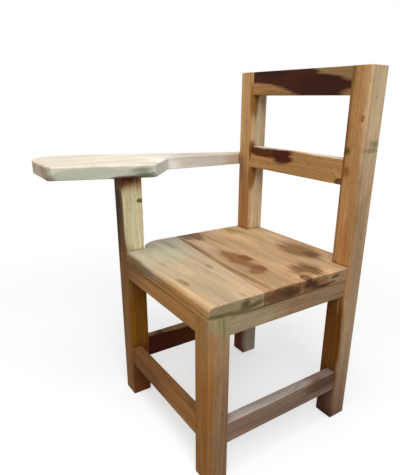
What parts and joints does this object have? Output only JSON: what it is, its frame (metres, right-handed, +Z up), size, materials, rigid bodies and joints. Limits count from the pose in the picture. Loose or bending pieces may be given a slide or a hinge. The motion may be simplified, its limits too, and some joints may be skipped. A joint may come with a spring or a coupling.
{
  "type": "writing arm chair",
  "caption": "Rustic hardwood writing-arm chair: square posts, mortised rails, plank seat, open slat back and a sawn writing board on the sitter's right.",
  "frame": {"origin": "on the floor, under the middle of the chair's whole plan, writing board included", "axes": "+Z up from the floor, +Y towards the chair's back, +X towards the sitter's left; the writing board is on the -X side"},
  "size_m": [0.596, 0.59, 0.845],
  "materials": {
    "post_hardwood": "thin clear oil over reclaimed two-tone hardwood",
    "rail_hardwood": "thin clear oil over reclaimed two-tone hardwood",
    "seat_hardwood": "thin clear oil, worn pale on top",
    "board_hardwood": "pale sapwood, planed smooth, thin clear oil",
    "plug_hardwood": "end-grain plug, flush and oiled",
    "screw_steel": "bright zinc-plated steel"
  },
  "bodies": {
    "root": {"front_left_leg": "post_hardwood", "front_right_post": "post_hardwood", "back_left_post": "post_hardwood", "back_right_post": "post_hardwood", "front_apron": "rail_hardwood", "back_apron": "rail_hardwood", "left_apron": "rail_hardwood", "right_apron": "rail_hardwood", "front_stretcher": "rail_hardwood", "left_stretcher": "rail_hardwood", "right_stretcher": "rail_hardwood", "back_slat": "rail_hardwood", "crest_rail": "rail_hardwood", "seat_plank_front": "seat_hardwood", "seat_plank_middle": "seat_hardwood", "seat_plank_back": "seat_hardwood", "writing_arm": "board_hardwood", "seat_screws": "screw_steel", "tail_screws": "screw_steel", "tail_plugs": "plug_hardwood"}
  },
  "joints": []
}
